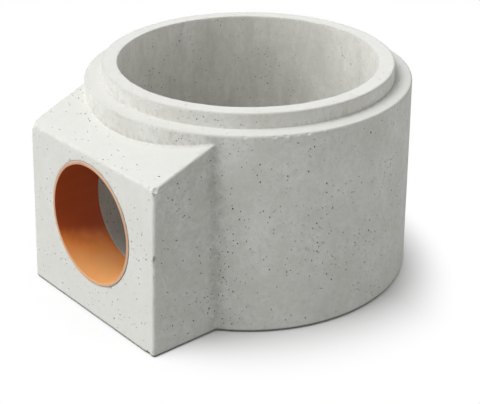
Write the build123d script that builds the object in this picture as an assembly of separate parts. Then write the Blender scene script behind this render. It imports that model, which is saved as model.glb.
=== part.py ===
from build123d import *
import os
from math import cos, radians, sin, sqrt, tan

# Concrete gully pot, the bottom element of a road gully. One casting: a round pot with a floor,
# a raised joint ring at the rim and an outlet block with a sloping top on one side. A short plastic
# sleeve for the drain pipe is cast into the block, square to its drafted front. Z is up, the origin
# is on the pot's axis at the base, and the outlet faces -Y. Lengths are in millimetres, angles in
# degrees.

# Pot: the bore, the joint ring with the shoulder around it, and the floor
bore_diameter = 450.0
spigot_wall = 28.0
spigot_height = 25.0
shoulder_width = 30.0
wall_draft = 1.3
floor_thickness = 55.0
floor_haunch = 25.0

# Outlet: the drain pipe, the sleeve around it, which stands a little proud of the block's front,
# and the step from the floor up to the hole in the pot's wall
pipe_diameter = 200.0
pipe_clearance = 0.5
sleeve_wall = 6.0
sleeve_depth = 87.0
sleeve_projection = 2.0
sleeve_gap = 0.2
sleeve_mouth_chamfer = 1.5
outlet_sill = 8.5

# Outlet block: concrete around the sleeve, reach past the wall, and plain wall above its corners
block_side_cover = 62.5
block_top_cover = 16.0
block_projection = 57.0
block_side_taper = 2.8
block_side_draft = 0.7
block_front_draft = 3.1
block_top_slope = 20.0
wall_above_block = 14.0

# Roundings that the mould leaves, and the bevel at the mouth of the bore
bore_mouth_bevel = 3.0
spigot_arris_radius = 2.0
shoulder_arris_radius = 2.0
block_front_arris_radius = 5.0
block_side_arris_radius = 2.0
block_junction_radius = 5.0

# Radii about the pot's axis and about the outlet's axis
bore_radius = bore_diameter / 2
spigot_radius = bore_radius + spigot_wall
shoulder_radius = spigot_radius + shoulder_width
sleeve_bore_radius = pipe_diameter / 2 + pipe_clearance
sleeve_radius = sleeve_bore_radius + sleeve_wall

# Heights above the base, and reaches from the pot's axis towards the outlet
# The outlet's axis is square to the drafted front, so it rises from the pot's wall to the front.
draft = radians(block_front_draft)
block_front_reach = shoulder_radius + block_projection
outlet_reach = block_front_reach + (sleeve_radius + block_top_cover) * tan(draft)
outlet_rise = (outlet_reach - bore_radius) * tan(draft)
outlet_height = floor_thickness + outlet_sill + sleeve_bore_radius / cos(draft) + outlet_rise
block_front_height = outlet_height + sleeve_radius + block_top_cover
block_foot_reach = block_front_reach + block_front_height * tan(draft)
outlet_front = Plane((0, -outlet_reach, outlet_height), x_dir=(1, 0, 0), z_dir=(0, -cos(draft), sin(draft)))

# The block's side in plan, level with the top of the front, runs from there to a corner on the pot's wall
block_half_front = sleeve_radius + block_side_cover
taper = radians(block_side_taper)
side_middle = block_front_reach * cos(taper) - block_half_front * sin(taper)
front_distance = sqrt(block_front_reach**2 + block_half_front**2)
block_side_length = side_middle - sqrt(side_middle**2 - front_distance**2 + shoulder_radius**2)
block_corner_reach = block_front_reach - block_side_length * cos(taper)
block_corner_rise = (block_front_reach - block_corner_reach) * tan(radians(block_top_slope))

shoulder_height = block_front_height + block_corner_rise + wall_above_block
rim_height = shoulder_height + spigot_height
base_radius = shoulder_radius + shoulder_height * tan(radians(wall_draft))


def round_edges(solid, radius, height):
    """The solid's circular edges of one radius about the pot's axis, at one height."""
    level = solid.edges().filter_by(GeomType.CIRCLE).filter_by_position(Axis.Z, height - 0.1, height + 0.1)
    return level.filter_by(lambda edge: abs(edge.radius - radius) < 0.1)


def pot_plug():
    """The pot's outside as a solid plug: drafted wall, flat shoulder and raised joint ring."""
    outline = Polyline(
        (0, 0),
        (base_radius, 0),
        (shoulder_radius, shoulder_height),
        (spigot_radius, shoulder_height),
        (spigot_radius, rim_height),
        (0, rim_height),
        close=True,
    )
    return revolve(Plane.XZ * make_face(outline), Axis.Z)


def pot_hollow():
    """The space inside the pot, with the haunch that stiffens the corner of wall and floor."""
    depth = rim_height - floor_thickness
    hollow = Cylinder(bore_radius, depth, align=(Align.CENTER, Align.CENTER, Align.MIN))
    hollow = Pos(0, 0, floor_thickness) * hollow
    return chamfer(round_edges(hollow, bore_radius, floor_thickness), floor_haunch)


def outlet_block():
    """The outlet block: side view with drafted front and sloping top, cut to its tapered plan and sides."""
    inset = wall_above_block / 2 / tan(radians(block_top_slope))
    back_reach = block_corner_reach - inset
    back_height = shoulder_height - wall_above_block / 2
    side_view = Polyline(
        (-back_reach, 0),
        (-block_foot_reach, 0),
        (-block_front_reach, block_front_height),
        (-back_reach, back_height),
        close=True,
    )
    spread = block_front_height * tan(radians(block_side_draft))
    half_foot = block_half_front + spread - (block_foot_reach - block_front_reach) * tan(taper)
    half_back = half_foot + (block_foot_reach - back_reach) * tan(taper)
    plan = Polyline(
        (-half_foot, -block_foot_reach),
        (half_foot, -block_foot_reach),
        (half_back, -back_reach),
        (-half_back, -back_reach),
        close=True,
    )
    slab = extrude(Plane.YZ * make_face(side_view), half_back, both=True)
    column = extrude(make_face(plan), rim_height, taper=block_side_draft)
    return slab & column


def along_outlet(radius, behind, proud):
    """A round bar on the outlet's axis, from behind the block's front to proud of it."""
    return extrude(outlet_front.offset(-behind) * Circle(radius), behind + proud)


def outlet_hole():
    """The hole through wall and block, wider where the sleeve sits, and kept above the floor."""
    passage = along_outlet(sleeve_bore_radius, outlet_reach, block_projection)
    passage = split(passage, bisect_by=Plane.XY.offset(floor_thickness), keep=Keep.TOP)
    return passage + along_outlet(sleeve_radius, sleeve_depth, block_projection)


def block_arrises(casting):
    """The block's straight lines above its foot, from its front back to the wall."""
    lines = casting.edges().filter_by(GeomType.LINE).filter_by(lambda edge: edge.center().Z > 1)
    return lines.filter_by(lambda edge: edge.center().Y < -block_corner_reach).sort_by(Axis.Y)


def gully_body():
    """The concrete casting, with its moulded roundings, hollow and stepped outlet hole."""
    casting = pot_plug() + outlet_block()
    casting = fillet(block_arrises(casting)[:3], block_front_arris_radius)
    casting = fillet(block_arrises(casting)[-2:], block_side_arris_radius)

    wall = casting.faces().filter_by(GeomType.PLANE, reverse=True).sort_by(SortBy.AREA)[-1]
    junction = wall.edges().filter_by(lambda edge: edge.geom_type not in (GeomType.LINE, GeomType.CIRCLE))
    casting = fillet(junction, block_junction_radius)

    casting = fillet(round_edges(casting, shoulder_radius, shoulder_height), shoulder_arris_radius)
    casting = fillet(round_edges(casting, spigot_radius, rim_height), spigot_arris_radius)
    casting = casting - pot_hollow()
    casting = chamfer(round_edges(casting, bore_radius, rim_height), bore_mouth_bevel)
    return casting - outlet_hole()


def outlet_sleeve():
    """The plastic sleeve: square-ended pipe, seated on the hole's step, with a bevelled mouth."""
    tube = along_outlet(sleeve_radius - sleeve_gap, sleeve_depth, sleeve_projection)
    tube = tube - along_outlet(sleeve_bore_radius, sleeve_depth, sleeve_projection)
    mouth = tube.faces().sort_by(Axis.Y)[0].inner_wires()[0]
    return chamfer(mouth.edges(), sleeve_mouth_chamfer)


os.makedirs("parts", exist_ok=True)
export_step(gully_body(), "parts/gully_body.step")
export_step(outlet_sleeve(), "parts/outlet_sleeve.step")
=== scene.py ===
import math
import random

import bmesh
import bpy
from mathutils import Matrix, Vector, kdtree, noise


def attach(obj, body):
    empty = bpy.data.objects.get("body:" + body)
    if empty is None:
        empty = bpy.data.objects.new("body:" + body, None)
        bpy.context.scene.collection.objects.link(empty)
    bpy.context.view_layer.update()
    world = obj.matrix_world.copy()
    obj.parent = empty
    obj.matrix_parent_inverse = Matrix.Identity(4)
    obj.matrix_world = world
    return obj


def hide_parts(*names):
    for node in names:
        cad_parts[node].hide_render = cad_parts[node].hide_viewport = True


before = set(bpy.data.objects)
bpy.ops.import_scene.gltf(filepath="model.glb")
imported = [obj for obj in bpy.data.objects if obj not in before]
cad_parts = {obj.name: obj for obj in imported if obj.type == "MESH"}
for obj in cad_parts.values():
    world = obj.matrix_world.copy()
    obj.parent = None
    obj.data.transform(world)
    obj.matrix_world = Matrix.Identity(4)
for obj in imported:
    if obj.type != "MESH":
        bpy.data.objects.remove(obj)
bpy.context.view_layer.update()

# ------------------------------------------------------------------------------------------------
# Body: the pot, its joint ring and the outlet block, one casting of dense grey concrete. It is shaken
# down in a steel mould and turned out within the day, so the arrises come out rounded and a little
# ragged, air bubbles leave small pores, and handling in the yard has chipped it here and there.
bore_radius = 0.225
spigot_radius = 0.253
shoulder_radius = 0.283
base_radius = 0.29094
wall_draft = math.radians(1.3)
bore_foot = 0.082
shoulder_height, rim_height = 0.34996, 0.37496
block_corner = (0.175, -0.228, 0.0)
block_front = -0.33
outlet_front = Vector((0.0, -0.34663, 0.17073))
outlet_lean = math.radians(3.1)
outlet_axis = Vector((0.0, -math.cos(outlet_lean), math.sin(outlet_lean)))
outlet_radius, passage_radius = 0.1065, 0.1005

foot_break, foot_turn = 0.003, 0.5
grid = 0.0019
mould_smoothing = 1
thinned_triangles = 105000

body = bpy.data.objects.new("concrete_body", bpy.data.meshes.new("concrete_body"))
bpy.context.scene.collection.objects.link(body)
bm = bmesh.new()
bm.from_mesh(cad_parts["gully_body"].data)
bmesh.ops.remove_doubles(bm, verts=bm.verts, dist=1e-6)
foot_edges = [e for e in bm.edges
              if max(v.co.z for v in e.verts) < 1e-5 and e.calc_face_angle(0.0) > foot_turn]
bmesh.ops.bevel(bm, geom=foot_edges, affect="EDGES", offset=foot_break, segments=1, profile=0.5, material=-1)
bm.to_mesh(body.data)
bm.free()


def apply_modifiers(piece):
    """The piece's mesh becomes what its modifiers make of it."""
    bpy.context.view_layer.update()
    finished = piece.evaluated_get(bpy.context.evaluated_depsgraph_get())
    mesh = bpy.data.meshes.new_from_object(finished)
    piece.modifiers.clear()
    rough, piece.data = piece.data, mesh
    bpy.data.meshes.remove(rough)
    mesh.name = piece.name


even = body.modifiers.new("even_grid", "REMESH")
even.mode = "VOXEL"
even.voxel_size = grid
rounded = body.modifiers.new("mould_rounding", "SMOOTH")
rounded.factor, rounded.iterations = 0.5, mould_smoothing
apply_modifiers(body)

# The top of the block's front is rubbed rounder than the other arrises.
worn_from_y, worn_from_z, rubs = -0.325, 0.275, 4
bm = bmesh.new()
bm.from_mesh(body.data)
worn_front = [v for v in bm.verts if v.co.y < worn_from_y and v.co.z > worn_from_z]
for rub in range(rubs):
    bmesh.ops.smooth_vert(bm, verts=worn_front, factor=0.5, use_axis_x=True, use_axis_y=True, use_axis_z=True)
bm.normal_update()

# The round walls go back onto true circles, so that no facet of the model shows in them. Each stops short
# of the roundings at its ends.
facet_depth = 0.0006
mouth_room, spigot_room, shoulder_room, foot_room = 0.005, 0.004, 0.003, 0.004
for v in bm.verts:
    radius = math.hypot(v.co.x, v.co.y)
    wall_radius = base_radius - v.co.z * math.tan(wall_draft)
    for true_radius, low, high in (
        (bore_radius, bore_foot, rim_height - mouth_room),
        (spigot_radius, shoulder_height + spigot_room, rim_height - spigot_room),
        (wall_radius, foot_room, shoulder_height - shoulder_room),
    ):
        if abs(radius - true_radius) < facet_depth and low < v.co.z < high:
            v.co.xy *= true_radius / radius

# The ring's foot is a sharp corner of the mould, and the bore's mouth is hardly broken: what the even grid
# rounded there goes back towards the corner.
corner_slack, corner_reach, mouth_reach, mouth_share = 0.0005, 0.004, 0.0045, 0.9
for v in bm.verts:
    radius = math.hypot(v.co.x, v.co.y)
    for corner_radius, corner_height, reach, share in (
        (spigot_radius, shoulder_height, corner_reach, 1.0),
        (bore_radius, rim_height, mouth_reach, mouth_share),
    ):
        across, rise = radius - corner_radius, v.co.z - corner_height
        if -corner_slack < across < reach and abs(rise) < reach:
            pull = max(0.0, min(across, abs(rise))) * share
            v.co.xy *= (radius - pull) / radius
            v.co.z -= math.copysign(pull, rise)
# So does the mouth of the outlet's hole, where the concrete was cast against the sleeve.
for v in bm.verts:
    rise = (v.co - outlet_front).dot(outlet_axis)
    spoke = v.co - outlet_front - outlet_axis * rise
    across = spoke.length - outlet_radius
    if -corner_slack < across < corner_reach and abs(rise) < corner_reach:
        pull = max(0.0, min(across, abs(rise)))
        v.co -= spoke.normalized() * pull + outlet_axis * math.copysign(pull, rise)
bm.normal_update()

# The faces are a little uneven, and the arrises are rubbed back unevenly. On a flat face the points are
# shaken out of their rows, so that pores made from them later don't line up. How far a point stands out
# from its neighbours tells an arris from a face. The foot stays flat on the floor.
wave_length, wave_height = 0.070, 0.00020
ripple_length, ripple_height = 0.016, 0.00009
arris_bulge, arris_bulge_span = 0.00010, 0.00025
arris_wear, arris_wear_level = 0.0007, 0.25
arris_wear_lengths, arris_wear_start = (0.0085, 0.024), Vector((7.3, 1.9, 4.1))
full_arris = 0.9
edge_shade_bulge, edge_shade_bulge_span, edge_shade_slope = 0.00004, 0.00010, 0.2
flat_bulge, flat_shake = 0.00003, 0.45
floor_level, floor_span = 0.0005, 0.003
strew = random.Random(41)
edge_shade_layer = bm.verts.layers.float.new("edge_painted_shade")
dirt_and_shade_layer = bm.verts.layers.float.new("dirt_and_shade")
moved = []
arrises = []
for v in bm.verts:
    around = sum((e.other_vert(v).co for e in v.link_edges), Vector()) / len(v.link_edges)
    bulge = (v.co - around).dot(v.normal)
    edge = min(1.0, max(0.0, (bulge - arris_bulge) / arris_bulge_span))
    lift = (noise.noise(v.co / wave_length) * wave_height
            + noise.noise(v.co / ripple_length) * ripple_height)
    if edge > 0:
        ragged = sum(noise.noise(v.co / length + arris_wear_start) for length in arris_wear_lengths)
        lift -= edge * arris_wear * max(0.0, arris_wear_level + ragged)
    # Arrises and inner corners on faces that look up are marked for painted shade.
    edge_shade = min(1.0, max(0.0, (abs(bulge) - edge_shade_bulge) / edge_shade_bulge_span))
    v[edge_shade_layer] = edge_shade if v.normal.z > edge_shade_slope else 0.0
    if edge > full_arris:
        arrises.append(v.co.copy())
    shake = Vector()
    if abs(bulge) < flat_bulge:
        shake = Vector([strew.uniform(-flat_shake, flat_shake) * grid for axis in range(3)])
        shake -= v.normal * shake.dot(v.normal)
    above_floor = min(1.0, max(0.0, (v.co.z - floor_level) / floor_span))
    moved.append(v.co + shake + v.normal * lift * (above_floor if edge == 0 else 1.0))
for v, new_place in zip(bm.verts, moved):
    v.co = new_place

# Chips: a scoop is a sphere that bites into an arris. Those that show are placed, and the dark ones are
# painted darker; the rest are strewn, off the ring's top and the block's front.
strewn_chips = 60
strewn_size, strewn_bite = (0.0035, 0.0065), (0.14, 0.26)
strewn_room = 0.01
chip_search = 1.2
chip_roughness, chip_grains_per_metre = 0.16, 330
points = kdtree.KDTree(len(bm.verts))
for v in bm.verts:
    points.insert(v.co, v.index)
points.balance()
bm.verts.ensure_lookup_table()
chips = [
    # place on the arris, the way out of the concrete there, sphere radius, depth of the bite, how much darker it
    # is painted
    ((0.167, -0.340, 0.291), (0.7, -0.5, 0.6), 0.011, 0.0032, 0.0),
    ((0.170, -0.342, 0.284), (0.9, -0.4, 0.2), 0.004, 0.0015, 0.25),
    ((0.157, -0.340, 0.293), (0.1, -0.6, 0.8), 0.008, 0.0018, 0.0),
    ((-0.168, -0.340, 0.292), (-0.6, -0.5, 0.6), 0.018, 0.0050, 0.0),
    ((0.170, -0.3460, 0.1805), (0.8, -0.6, 0.0), 0.0030, 0.0015, 0.40),
    ((0.170, -0.3462, 0.1765), (0.7, -0.7, 0.0), 0.0026, 0.0013, 0.55),
    ((0.170, -0.3465, 0.1720), (0.9, -0.4, 0.0), 0.0034, 0.0014, 0.25),
    ((0.170, -0.3468, 0.1660), (0.8, -0.6, 0.0), 0.0026, 0.0010, 0.15),
    ((0.170, -0.3480, 0.1450), (0.8, -0.6, 0.0), 0.0034, 0.0012, 0.10),
    ((0.156, -0.3555, 0.003), (0.0, -0.8, -0.6), 0.009, 0.0026, 0.3),
    ((-0.140, -0.340, 0.293), (0.0, -0.7, 0.7), 0.010, 0.0020, 0.0),
    ((-0.0525, -0.3418, 0.2640), (0.0, -1.0, 0.0), 0.006, 0.0015, 0.2),
    ((0.0570, -0.3523, 0.0790), (0.0, -1.0, 0.0), 0.004, 0.0012, 0.5),
]
shoulder_chips = [
    # degrees round the shoulder's arris from the outlet, sphere radius, depth of the bite
    (47, 0.006, 0.0016),
    (56, 0.008, 0.0014),
    (60, 0.007, 0.0018),
    (63.5, 0.006, 0.0014),
    (67, 0.008, 0.0017),
]
for degrees, size, bite in shoulder_chips:
    way = Vector((math.sin(math.radians(degrees)), -math.cos(math.radians(degrees)), 0.0))
    spot = way * shoulder_radius + Vector((0, 0, shoulder_height))
    chips.append((spot, way + Vector((0, 0, 1)), size, bite, 0.0))
free_arrises = [p for p in arrises if p.z < rim_height - strewn_room and p.y > block_front]
for spot in strew.sample(free_arrises, strewn_chips):
    size = strew.uniform(*strewn_size)
    way_out = bm.verts[points.find(spot)[1]].normal.copy()
    chips.append((spot, way_out, size, size * strew.uniform(*strewn_bite), 0.0))
for spot, way_out, size, bite, chip_darkening in chips:
    centre = points.find(spot)[0] + Vector(way_out).normalized() * (size - bite)
    for found, index, distance in points.find_range(centre, size * chip_search):
        v = bm.verts[index]
        reach = size * (1 + chip_roughness * noise.noise(v.co * chip_grains_per_metre))
        if (v.co - centre).length < reach:
            v.co = centre + (v.co - centre).normalized() * reach
            v[dirt_and_shade_layer] = chip_darkening
for v in bm.verts:
    v.co.z = max(0.0, v.co.z)
bm.to_mesh(body.data)
bm.free()

thinned = body.modifiers.new("thinned", "DECIMATE")
thinned.ratio = thinned_triangles / (2 * len(body.data.polygons))
apply_modifiers(body)

# Air pores: a vertex is opened to a small face, and the face is pushed in. They lie in loose swarms, fewest
# on the struck ring and most about the outlet block and low down, and the bottom of each is marked to be
# painted dark, with dirt and painted shade. A vertex is taken only on flat ground, with room for the pore.
pore_kinds = [
    # radius, depth, number of tries
    (0.0009, 0.0018, 2000),
    (0.0012, 0.0023, 1800),
    (0.0015, 0.0028, 540),
    (0.0019, 0.0033, 30),
]
pore_lowest, pore_room, pore_flatness, pore_taper = 0.010, 2.3, 0.985, 0.25
pore_swarm_length = 0.050
pore_upward, pore_forward = 0.3, -0.99


def pore_weight(v):
    """How likely a pore is at a vertex, from the swarm that it lies in, the face and the height."""
    swarm = 0.10 + 2.0 * max(0.0, 0.25 + 1.2 * noise.noise(v.co / pore_swarm_length)) ** 2
    if v.co.z > 0.34 and v.normal.z > pore_upward:
        face = 0.35
    elif v.normal.z > pore_upward or v.normal.y < pore_forward:
        face = 1.6
    elif -0.26 < v.co.y < -0.19:
        face = 2.8
    elif v.co.y < -0.26:
        face = 2.2
    else:
        face = 1.0
    return swarm * face * (1.3 if v.co.z < 0.21 else 0.75)


bm = bmesh.new()
bm.from_mesh(body.data)
bm.normal_update()
dirt_and_shade_layer = bm.verts.layers.float["dirt_and_shade"]
for pit_radius, pit_depth, tries in pore_kinds:
    room = [v for v in bm.verts
            if v.co.z > pore_lowest and min(e.calc_length() for e in v.link_edges) > pore_room * pit_radius
            and all(f.normal.dot(v.normal) > pore_flatness for f in v.link_faces)]
    chosen, taken = [], set()
    for v in strew.choices(room, [pore_weight(v) for v in room], k=tries):
        if v not in taken:
            chosen.append(v)
            taken.add(v)
            taken.update(e.other_vert(v) for e in v.link_edges)
    opened = bmesh.ops.bevel(bm, geom=chosen, affect="VERTICES", offset=pit_radius, segments=1, profile=0.5,
                             material=-1, clamp_overlap=True)["faces"]
    for f in opened:
        for e in f.edges:
            e.smooth = False
    bmesh.ops.inset_individual(bm, faces=opened, thickness=pit_radius * pore_taper, depth=-pit_depth)
    for f in opened:
        for v in f.verts:
            v[dirt_and_shade_layer] = 1.0
bm.normal_update()
bm.to_mesh(body.data)
bm.free()
body.data.shade_smooth()
flat = body.modifiers.new("flat_faces_stay_flat", "WEIGHTED_NORMAL")
flat.mode, flat.weight, flat.keep_sharp = "FACE_AREA", 50, True
apply_modifiers(body)


def linear(colour):
    """An sRGB hex colour as linear RGBA."""
    parts = [int(colour[i:i + 2], 16) / 255 for i in (0, 2, 4)]
    return [p / 12.92 if p <= 0.04045 else ((p + 0.055) / 1.055) ** 2.4 for p in parts] + [1.0]


def add(tree, kind, inputs=None, **settings):
    """Adds a node with its settings. An input, by name or number, is a value or the socket it is linked from.

    A Map Range's inputs 0 to 4 are the value, the range it comes from and the range it goes to. A colour
    Mix's inputs are 0 for the share and 6 and 7 for the colours, and its colour comes out at 2.
    """
    made = tree.nodes.new(kind)
    for name, value in settings.items():
        setattr(made, name, value)
    for name, value in (inputs or {}).items():
        if isinstance(value, bpy.types.NodeSocket):
            tree.links.new(value, made.inputs[name])
        else:
            made.inputs[name].default_value = value
    return made


# Cast concrete, mould-finished: pale warm grey and dead matt. Cement film lies on it in soft clouds and
# blotches, water has left faint upright streaks, and pores and pinholes of air show as dark specks.
film_grey, film_pale = "C5C5BF", "D3D4D1"
blotch_grey, streak_grey, grain_grey, smudge_grey = "B7B5AC", "B3B2AB", "AAA9A2", "A3A199"
slurry_grey, sloped_top_shade_grey, plate_grey = "C4C4C1", "B9BAB6", "C3C3BF"
corner_shade_grey, side_shade_grey, hole_shade_grey, foot_shade_dark = "8A8982", "9A9992", "767972", "46453F"
edge_shade_grey, pinhole_dirt_and_shade, dirt_and_shade_dark = "ABAAA5", "53524C", "201F1C"
cloud_length, blotch_length, smudge_length = 0.075, 0.014, 0.008
streak_width, streak_length = 0.020, 0.070
# Sand grains are under a millimetre and wouldn't show, so the grain is drawn at 3 mm.
grain_length = 0.003
bubble_spacing = 0.0075

concrete = bpy.data.materials.new("cast_concrete")
concrete.use_nodes = True
nodes = concrete.node_tree
nodes.nodes.clear()
place = add(nodes, "ShaderNodeTexCoord").outputs["Object"]
level = add(nodes, "ShaderNodeSeparateXYZ", {0: place})
facing = add(nodes, "ShaderNodeSeparateXYZ", {0: add(nodes, "ShaderNodeTexCoord").outputs["Normal"]})
clouds = add(nodes, "ShaderNodeTexNoise", {"Vector": place, "Scale": 1 / cloud_length, "Detail": 4.0,
                                           "Roughness": 0.55})
blotches = add(nodes, "ShaderNodeTexNoise", {"Vector": place, "Scale": 1 / blotch_length, "Detail": 5.0,
                                             "Roughness": 0.7, "Distortion": 0.6})
run_down = add(nodes, "ShaderNodeMapping", {"Vector": place, "Scale": (1 / streak_width, 1 / streak_width,
                                                                       1 / streak_length)})
streaks = add(nodes, "ShaderNodeTexNoise", {"Vector": run_down.outputs[0], "Scale": 1.0, "Detail": 4.0,
                                            "Roughness": 0.6, "Distortion": 0.5})
grain = add(nodes, "ShaderNodeTexNoise", {"Vector": place, "Scale": 1 / grain_length, "Detail": 3.0,
                                          "Roughness": 0.65})
smudges = add(nodes, "ShaderNodeTexNoise", {"Vector": place, "Scale": 1 / smudge_length, "Detail": 3.0,
                                            "Roughness": 0.6})

# Pinholes are bubbles of many sizes, and larger where the film is thick. They are painted dark, with dirt and
# painted shade.
bubbles = add(nodes, "ShaderNodeTexVoronoi", {"Vector": place, "Scale": 1 / bubble_spacing, "Randomness": 1.0})
bubble_size = add(nodes, "ShaderNodeSeparateColor", {"Color": bubbles.outputs["Color"]})
swarm = add(nodes, "ShaderNodeMapRange", {0: clouds.outputs[0], 1: 0.40, 2: 0.65, 3: 0.10, 4: 0.19})
bubble_reach = add(nodes, "ShaderNodeMapRange", {0: bubble_size.outputs[0], 1: 0.50, 2: 1.0, 3: 0.0,
                                                 4: swarm.outputs[0]})
bubble_depth = add(nodes, "ShaderNodeMath", {0: bubble_reach.outputs[0], 1: bubbles.outputs["Distance"]},
                   operation="SUBTRACT")
pinhole = add(nodes, "ShaderNodeMapRange", {0: bubble_depth.outputs[0], 1: 0.0, 2: 0.05, 3: 0.0, 4: 0.9})

# Streaks are plain inside the bore, which is wet for longest, and faint outside. The upright corners
# between the block and the round wall are painted darker, as painted shade.
outward = add(nodes, "ShaderNodeVectorMath", {0: place, 1: (1.0, 1.0, 0.0)}, operation="MULTIPLY")
from_pot_axis = add(nodes, "ShaderNodeVectorMath", {0: outward.outputs[0]}, operation="LENGTH")
streaked = add(nodes, "ShaderNodeMapRange", {0: from_pot_axis.outputs["Value"], 1: bore_radius + 0.0002,
                                             2: bore_radius + 0.0022, 3: 0.65, 4: 0.15})
sideways = add(nodes, "ShaderNodeMath", {0: level.outputs["X"]}, operation="ABSOLUTE")
in_plan = add(nodes, "ShaderNodeCombineXYZ", {"X": sideways.outputs[0], "Y": level.outputs["Y"]})
from_corner = add(nodes, "ShaderNodeVectorMath", {0: in_plan.outputs[0], 1: block_corner}, operation="DISTANCE")
corner_painted_shade = add(nodes, "ShaderNodeMapRange", {0: from_corner.outputs["Value"], 1: 0.004, 2: 0.020, 3: 0.36,
                                                4: 0.0})

cloud_share = add(nodes, "ShaderNodeMapRange", {0: clouds.outputs[0], 1: 0.30, 2: 0.70, 3: 0.0, 4: 1.0})
tone = add(nodes, "ShaderNodeMix", {0: cloud_share.outputs[0], 6: linear(film_grey), 7: linear(film_pale)},
           data_type="RGBA")
for pattern, low, high, most, colour in (
    (blotches, 0.35, 0.70, 0.50, blotch_grey),
    (streaks, 0.45, 0.75, streaked.outputs[0], streak_grey),
    (grain, 0.35, 0.70, 0.25, grain_grey),
    (smudges, 0.56, 0.72, 0.32, smudge_grey),
    (blotches, 0.25, 0.60, corner_painted_shade.outputs[0], corner_shade_grey),
):
    share = add(nodes, "ShaderNodeMapRange", {0: pattern.outputs[0], 1: low, 2: high, 3: 0.0, 4: most})
    tone = add(nodes, "ShaderNodeMix", {0: share.outputs[0], 6: tone.outputs[2], 7: linear(colour)},
               data_type="RGBA")

# The faces that look up were struck off and rubbed with cement slurry, so they are the plainest and the
# palest, but for the sloping top of the block, which is painted darker as painted shade. The block's front
# lay against the smoothest plate.
upward = add(nodes, "ShaderNodeMapRange", {0: facing.outputs["Z"], 1: 0.6, 2: 0.9, 3: 0.0, 4: 0.75})
low_down = add(nodes, "ShaderNodeMapRange", {0: level.outputs["Z"], 1: 0.338, 2: 0.346, 3: 1.0, 4: 0.0})
slurry_and_shade_tone = add(nodes, "ShaderNodeMix", {0: low_down.outputs[0], 6: linear(slurry_grey), 7: linear(sloped_top_shade_grey)},
             data_type="RGBA")
forward = add(nodes, "ShaderNodeMapRange", {0: facing.outputs["Y"], 1: -0.95, 2: -0.99, 3: 0.0, 4: 0.65})
plated = add(nodes, "ShaderNodeMapRange", {0: level.outputs["Y"], 1: block_front + 0.01, 2: block_front, 3: 0.0,
                                           4: forward.outputs[0]})

# The block's right side is painted darker as painted shade, most of all towards its top.
side_shade_rise = add(nodes, "ShaderNodeMapRange", {0: level.outputs["Z"], 1: 0.04, 2: 0.27, 3: 0.08, 4: 0.36})
side_shade_start = add(nodes, "ShaderNodeMapRange", {0: level.outputs["Y"], 1: -0.20, 2: -0.24, 3: 0.0,
                                                4: side_shade_rise.outputs[0]})
side_shade_facing = add(nodes, "ShaderNodeMapRange", {0: facing.outputs["X"], 1: 0.85, 2: 0.98, 3: 0.0,
                                               4: side_shade_start.outputs[0]})
side_painted_shade = add(nodes, "ShaderNodeMapRange", {0: blotches.outputs[0], 1: 0.10, 2: 0.60, 3: 0.0,
                                          4: side_shade_facing.outputs[0]})

# The outlet's hole is painted darker, as painted shade.
from_outlet = add(nodes, "ShaderNodeVectorMath", {0: place, 1: tuple(outlet_front)}, operation="SUBTRACT")
outlet_turn = add(nodes, "ShaderNodeVectorMath", {0: from_outlet.outputs[0], 1: tuple(outlet_axis)},
                  operation="CROSS_PRODUCT")
from_outlet_axis = add(nodes, "ShaderNodeVectorMath", {0: outlet_turn.outputs[0]}, operation="LENGTH")
outlet_side = add(nodes, "ShaderNodeMapRange", {0: level.outputs["Y"], 1: -0.202, 2: -0.198, 3: 0.6, 4: 0.0})
in_hole = add(nodes, "ShaderNodeMapRange", {0: from_outlet_axis.outputs["Value"], 1: passage_radius + 0.001,
                                            2: passage_radius + 0.003, 3: outlet_side.outputs[0], 4: 0.0})

# The arrises and inner corners of faces that look up are painted a shade darker than the cement film, as
# painted shade. The foot is painted dark as painted shade, pores with dirt and painted shade, and some chips
# darker.
edge_shade_attribute = add(nodes, "ShaderNodeAttribute", attribute_name="edge_painted_shade")
edge_shade_share = add(nodes, "ShaderNodeMapRange", {0: edge_shade_attribute.outputs["Fac"], 1: 0.0, 2: 1.0, 3: 0.0, 4: 0.8})
# Painted shade darkens the lowest few millimetres of the foot.
foot_painted_shade = add(nodes, "ShaderNodeMapRange", {0: level.outputs["Z"], 1: 0.0035, 2: 0.0065, 3: 0.8, 4: 0.0})
dirt_and_shade = add(nodes, "ShaderNodeAttribute", attribute_name="dirt_and_shade")
for share, colour in (
    (upward.outputs[0], slurry_and_shade_tone.outputs[2]),
    (plated.outputs[0], linear(plate_grey)),
    (side_painted_shade.outputs[0], linear(side_shade_grey)),
    (in_hole.outputs[0], linear(hole_shade_grey)),
    (pinhole.outputs[0], linear(pinhole_dirt_and_shade)),
    (edge_shade_share.outputs[0], linear(edge_shade_grey)),
    (foot_painted_shade.outputs[0], linear(foot_shade_dark)),
    (dirt_and_shade.outputs["Fac"], linear(dirt_and_shade_dark)),
):
    tone = add(nodes, "ShaderNodeMix", {0: share, 6: tone.outputs[2], 7: colour}, data_type="RGBA")

matt = add(nodes, "ShaderNodeMapRange", {0: grain.outputs[0], 1: 0.3, 2: 0.7, 3: 0.84, 4: 0.96})
grain_bump = add(nodes, "ShaderNodeBump", {"Strength": 0.35, "Distance": 0.0006, "Height": grain.outputs[0]})
pinhole_bump = add(nodes, "ShaderNodeBump", {"Strength": 0.8, "Distance": 0.0012, "Height": pinhole.outputs[0],
                                             "Normal": grain_bump.outputs[0]}, invert=True)
surface = add(nodes, "ShaderNodeBsdfPrincipled", {
    "Base Color": tone.outputs[2], "Roughness": matt.outputs[0], "IOR": 1.5, "Specular IOR Level": 0.25,
    "Normal": pinhole_bump.outputs[0]})
add(nodes, "ShaderNodeOutputMaterial", {"Surface": surface.outputs[0]})
body.data.materials.clear()
body.data.materials.append(concrete)
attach(body, "root")
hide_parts("gully_body")

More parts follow.
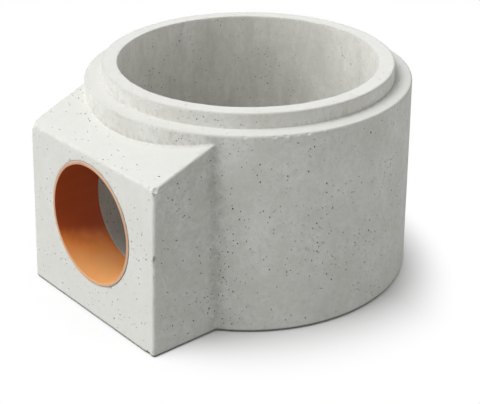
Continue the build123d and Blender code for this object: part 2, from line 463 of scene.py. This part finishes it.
# ------------------------------------------------------------------------------------------------
# Sleeve: a short length of orange-brown PVC pipe for the drain to push into. It is held square on the front
# of the mould while the concrete is poured, and stands a little proud of the block's leaning face.
sleeve_inside, sleeve_outside = passage_radius, 0.1063
sleeve_depth, sleeve_proud = 0.087, 0.0012
sleeve_steps = 160
rim_bevel = 0.0009

sleeve = bpy.data.objects.new("pvc_sleeve", bpy.data.meshes.new("pvc_sleeve"))
bpy.context.scene.collection.objects.link(sleeve)
bm = bmesh.new()
bmesh.ops.create_circle(bm, cap_ends=False, segments=4, radius=0.01)
corners = ((sleeve_inside, -sleeve_depth), (sleeve_outside, -sleeve_depth), (sleeve_outside, sleeve_proud),
           (sleeve_inside, sleeve_proud))
for v, (radius, along) in zip(bm.verts, corners):
    v.co = (radius, 0.0, along)
bmesh.ops.spin(bm, geom=bm.verts[:] + bm.edges[:], cent=(0, 0, 0), axis=(0, 0, 1), angle=math.tau,
               steps=sleeve_steps, use_merge=True)
bmesh.ops.recalc_face_normals(bm, faces=bm.faces)
rim = [e for e in bm.edges if min(v.co.z for v in e.verts) > sleeve_proud - 1e-5
       and abs(e.verts[0].co.xy.length - e.verts[1].co.xy.length) < 1e-5]
bmesh.ops.bevel(bm, geom=rim, affect="EDGES", offset=rim_bevel, segments=2, profile=0.5, material=-1)
into_place = Matrix.Translation(outlet_front) @ Matrix.Rotation(math.pi / 2 - outlet_lean, 4, "X")
bmesh.ops.transform(bm, matrix=into_place, verts=bm.verts)
bm.to_mesh(sleeve.data)
bm.free()
sleeve.data.shade_smooth()
edges = sleeve.modifiers.new("flat_faces_stay_flat", "WEIGHTED_NORMAL")
edges.mode, edges.weight = "FACE_AREA", 50
apply_modifiers(sleeve)

# Pipe PVC, extruded: an even orange-brown with a soft shine and faint draw lines along the pipe. Its lower half
# is painted lighter as painted light, cement dust lies along its bottom in that painted light, cement dried on
# its sawn rim is dull and pale, and painted shadow darkens the rim's outer edge.
pipe_brown, draw_line_brown = "9F4619", "9A4217"
lit_orange, dusty_lit_orange = "CE7A36", "C88D54"
rim_buff, rim_edge_shadow_buff = "BE9476", "ADA08F"
draw_line_width, draw_line_length = 0.006, 0.200
dust_and_light_film_length, dust_and_light_waver = 0.030, 0.03
# The painted light comes in at the mouth, so the lighter part climbs towards it.
light_slant = 0.25

pvc = bpy.data.materials.new("orange_brown_pvc")
pvc.use_nodes = True
nodes = pvc.node_tree
nodes.nodes.clear()
place = add(nodes, "ShaderNodeTexCoord").outputs["Object"]
drawn = add(nodes, "ShaderNodeMapping", {"Vector": place, "Scale": (1 / draw_line_width, 1 / draw_line_length,
                                                                    1 / draw_line_width)})
lines = add(nodes, "ShaderNodeTexNoise", {"Vector": drawn.outputs[0], "Scale": 1.0, "Detail": 2.0})
film = add(nodes, "ShaderNodeTexNoise", {"Vector": place, "Scale": 1 / dust_and_light_film_length, "Detail": 4.0})
line_share = add(nodes, "ShaderNodeMapRange", {0: lines.outputs[0], 1: 0.30, 2: 0.70, 3: 0.0, 4: 1.0})
tone = add(nodes, "ShaderNodeMix", {0: line_share.outputs[0], 6: linear(pipe_brown), 7: linear(draw_line_brown)},
           data_type="RGBA")

# Heights are taken from the sleeve's own axis, and the rim is told by the distance from it.
from_front = add(nodes, "ShaderNodeVectorMath", {0: place, 1: tuple(outlet_front)}, operation="SUBTRACT")
rise_way = (0.0, math.sin(outlet_lean) + light_slant, math.cos(outlet_lean))
rise = add(nodes, "ShaderNodeVectorMath", {0: from_front.outputs[0], 1: rise_way}, operation="DOT_PRODUCT")
uneven = add(nodes, "ShaderNodeMath", {0: film.outputs[0], 1: dust_and_light_waver, 2: rise.outputs["Value"]},
             operation="MULTIPLY_ADD")
# Painted light on the lower part of the sleeve, and below it cement dust in that painted light.
painted_light = add(nodes, "ShaderNodeMapRange", {0: uneven.outputs[0], 1: -0.022, 2: -0.058, 3: 0.0, 4: 1.0},
               interpolation_type="SMOOTHSTEP")
dust_and_light = add(nodes, "ShaderNodeMapRange", {0: uneven.outputs[0], 1: -0.044, 2: -0.080, 3: 0.0, 4: 1.0},
              interpolation_type="SMOOTHSTEP")
turn = add(nodes, "ShaderNodeVectorMath", {0: from_front.outputs[0], 1: tuple(outlet_axis)},
           operation="CROSS_PRODUCT")
from_sleeve_axis = add(nodes, "ShaderNodeVectorMath", {0: turn.outputs[0]}, operation="LENGTH")
cement_and_shadow_patches = add(nodes, "ShaderNodeMapRange", {0: film.outputs[0], 1: 0.35, 2: 0.65, 3: 0.75, 4: 1.0})
on_rim = add(nodes, "ShaderNodeMapRange", {0: from_sleeve_axis.outputs["Value"], 1: sleeve_inside + 0.0002,
                                           2: sleeve_inside + 0.0009, 3: 0.0, 4: cement_and_shadow_patches.outputs[0]})
# Painted shadow along the rim's outer edge, in patches.
rim_edge_painted_shadow = add(nodes, "ShaderNodeMapRange", {0: from_sleeve_axis.outputs["Value"], 1: sleeve_outside - 0.0022,
                                            2: sleeve_outside - 0.0004, 3: 0.0, 4: cement_and_shadow_patches.outputs[0]})
for share, colour in ((painted_light, lit_orange), (dust_and_light, dusty_lit_orange), (on_rim, rim_buff),
                      (rim_edge_painted_shadow, rim_edge_shadow_buff)):
    tone = add(nodes, "ShaderNodeMix", {0: share.outputs[0], 6: tone.outputs[2], 7: linear(colour)},
               data_type="RGBA")

shine = add(nodes, "ShaderNodeMapRange", {0: film.outputs[0], 1: 0.3, 2: 0.7, 3: 0.45, 4: 0.60})
line_bump = add(nodes, "ShaderNodeBump", {"Strength": 0.10, "Distance": 0.0002, "Height": lines.outputs[0]})
surface = add(nodes, "ShaderNodeBsdfPrincipled", {
    "Base Color": tone.outputs[2], "Roughness": shine.outputs[0], "IOR": 1.53, "Specular IOR Level": 0.25,
    "Normal": line_bump.outputs[0]})
add(nodes, "ShaderNodeOutputMaterial", {"Surface": surface.outputs[0]})
sleeve.data.materials.clear()
sleeve.data.materials.append(pvc)
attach(sleeve, "root")
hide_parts("outlet_sleeve")

# ------------------------------------------------------------------------------------------------
# Floor: white studio paper. The camera and the reflections see it white with the pot's shadow on it,
# and it throws back less light onto the pot than it shows, as a studio with dark sides does.
floor_half = 12.0
thrown_white, shown_white = (0.29, 0.29, 0.29, 1.0), (0.64, 0.64, 0.64, 1.0)
full_white = (1.0, 1.0, 1.0, 1.0)
fade_start, fade_end = 0.27, 0.44
behind_way, behind_start, behind_end, behind_gain = (0.087, 0.996, 0.0), 0.10, 0.50, 0.14
contact_gap = 0.012

floor = bpy.data.objects.new("studio_floor", bpy.data.meshes.new("studio_floor"))
bpy.context.scene.collection.objects.link(floor)
bm = bmesh.new()
bmesh.ops.create_grid(bm, x_segments=1, y_segments=1, size=floor_half)
bm.to_mesh(floor.data)
bm.free()


def seen_directly(tree):
    """A socket that is 1 for what the camera sees, also in reflections and through glass, and otherwise 0."""
    rays = add(tree, "ShaderNodeLightPath")
    total = rays.outputs["Is Camera Ray"]
    for kind in ("Is Glossy Ray", "Is Transmission Ray"):
        total = add(tree, "ShaderNodeMath", {0: total, 1: rays.outputs[kind]}, operation="ADD").outputs[0]
    return total


# The paper's shadow fades out to plain white away from the pot, sooner behind it, and stays in the narrow
# gap under the foot.
paper = bpy.data.materials.new("white_studio_paper")
paper.use_nodes = True
nodes = paper.node_tree
nodes.nodes.clear()
thrown = add(nodes, "ShaderNodeBsdfDiffuse", {"Color": thrown_white})
shaded = add(nodes, "ShaderNodeBsdfDiffuse", {"Color": shown_white})
white = add(nodes, "ShaderNodeEmission", {"Color": full_white, "Strength": 1.0})
place = add(nodes, "ShaderNodeTexCoord").outputs["Object"]
distance = add(nodes, "ShaderNodeVectorMath", {0: place}, operation="LENGTH")
behind = add(nodes, "ShaderNodeVectorMath", {0: place, 1: behind_way}, operation="DOT_PRODUCT")
sooner = add(nodes, "ShaderNodeMapRange", {0: behind.outputs["Value"], 1: behind_start, 2: behind_end, 3: 0.0,
                                           4: behind_gain})
away = add(nodes, "ShaderNodeMath", {0: distance.outputs["Value"], 1: sooner.outputs[0]}, operation="ADD")
fade = add(nodes, "ShaderNodeMapRange", {0: away.outputs[0], 1: fade_start, 2: fade_end, 3: 0.04, 4: 1.0},
           interpolation_type="SMOOTHSTEP")
gap = add(nodes, "ShaderNodeAmbientOcclusion", {"Distance": contact_gap}, samples=8)
open_floor = add(nodes, "ShaderNodeMapRange", {0: gap.outputs["AO"], 1: 0.25, 2: 0.55, 3: 0.0,
                                               4: fade.outputs[0]})
shown = add(nodes, "ShaderNodeMixShader", {0: open_floor.outputs[0], 1: shaded.outputs[0], 2: white.outputs[0]})
mixed = add(nodes, "ShaderNodeMixShader", {0: seen_directly(nodes), 1: thrown.outputs[0], 2: shown.outputs[0]})
add(nodes, "ShaderNodeOutputMaterial", {"Surface": mixed.outputs[0]})
floor.data.materials.append(paper)

# ------------------------------------------------------------------------------------------------
# Light: a broad soft light high on the left, a wide panel low on the left, a faint one behind on the right,
# and a fill from all round that is strongest at the height of the studio's walls.
for name, energy, spread, elevation, azimuth in (
    ("soft_key", 2.45, 40, 65, -36),
    ("left_panel", 1.9, 70, 30, -40),
    ("right_panel", 0.40, 80, 25, 125),
):
    lamp = bpy.data.objects.new(name, bpy.data.lights.new(name, "SUN"))
    lamp.data.energy = energy
    lamp.data.angle = math.radians(spread)
    flat_reach = math.cos(math.radians(elevation))
    towards_light = Vector((math.sin(math.radians(azimuth)) * flat_reach,
                            -math.cos(math.radians(azimuth)) * flat_reach,
                            math.sin(math.radians(elevation))))
    lamp.rotation_euler = towards_light.to_track_quat("Z", "Y").to_euler()
    bpy.context.scene.collection.objects.link(lamp)

wall_fill = 1.17
world = bpy.data.worlds.new("even_fill")
world.use_nodes = True
nodes = world.node_tree
nodes.nodes.clear()
sky = add(nodes, "ShaderNodeSeparateXYZ", {0: add(nodes, "ShaderNodeTexCoord").outputs["Generated"]})
walls = add(nodes, "ShaderNodeMapRange", {0: sky.outputs["Z"], 1: 0.0, 2: 1.0, 3: wall_fill, 4: 0.0})
fill = add(nodes, "ShaderNodeBackground", {"Color": full_white, "Strength": walls.outputs[0]})
white = add(nodes, "ShaderNodeBackground", {"Color": full_white, "Strength": 1.0})
mixed = add(nodes, "ShaderNodeMixShader", {0: seen_directly(nodes), 1: fill.outputs[0], 2: white.outputs[0]})
add(nodes, "ShaderNodeOutputWorld", {"Surface": mixed.outputs[0]})
bpy.context.scene.world = world

# ------------------------------------------------------------------------------------------------
# Camera: where the photographer stood, with a short telephoto lens, looking down on the pot from its
# outlet corner. The focal length is in pixels of the photograph.
photo_width = 480
focal_length = 1102.6
view_azimuth, view_elevation = math.radians(48.314), math.radians(27.471)
view_distance = 2.0535
view_target = Vector((-0.0205, -0.0006, 0.0841))
camera = bpy.data.objects.new("camera", bpy.data.cameras.new("camera"))
camera.data.sensor_width = 36.0
camera.data.lens = camera.data.sensor_width * focal_length / photo_width
back = Vector((math.sin(view_azimuth) * math.cos(view_elevation),
               -math.cos(view_azimuth) * math.cos(view_elevation), math.sin(view_elevation)))
camera.location = view_target + back * view_distance
camera.rotation_euler = back.to_track_quat("Z", "Y").to_euler()
bpy.context.scene.collection.objects.link(camera)
bpy.context.scene.camera = camera
bpy.context.scene.view_settings.view_transform = "Standard"
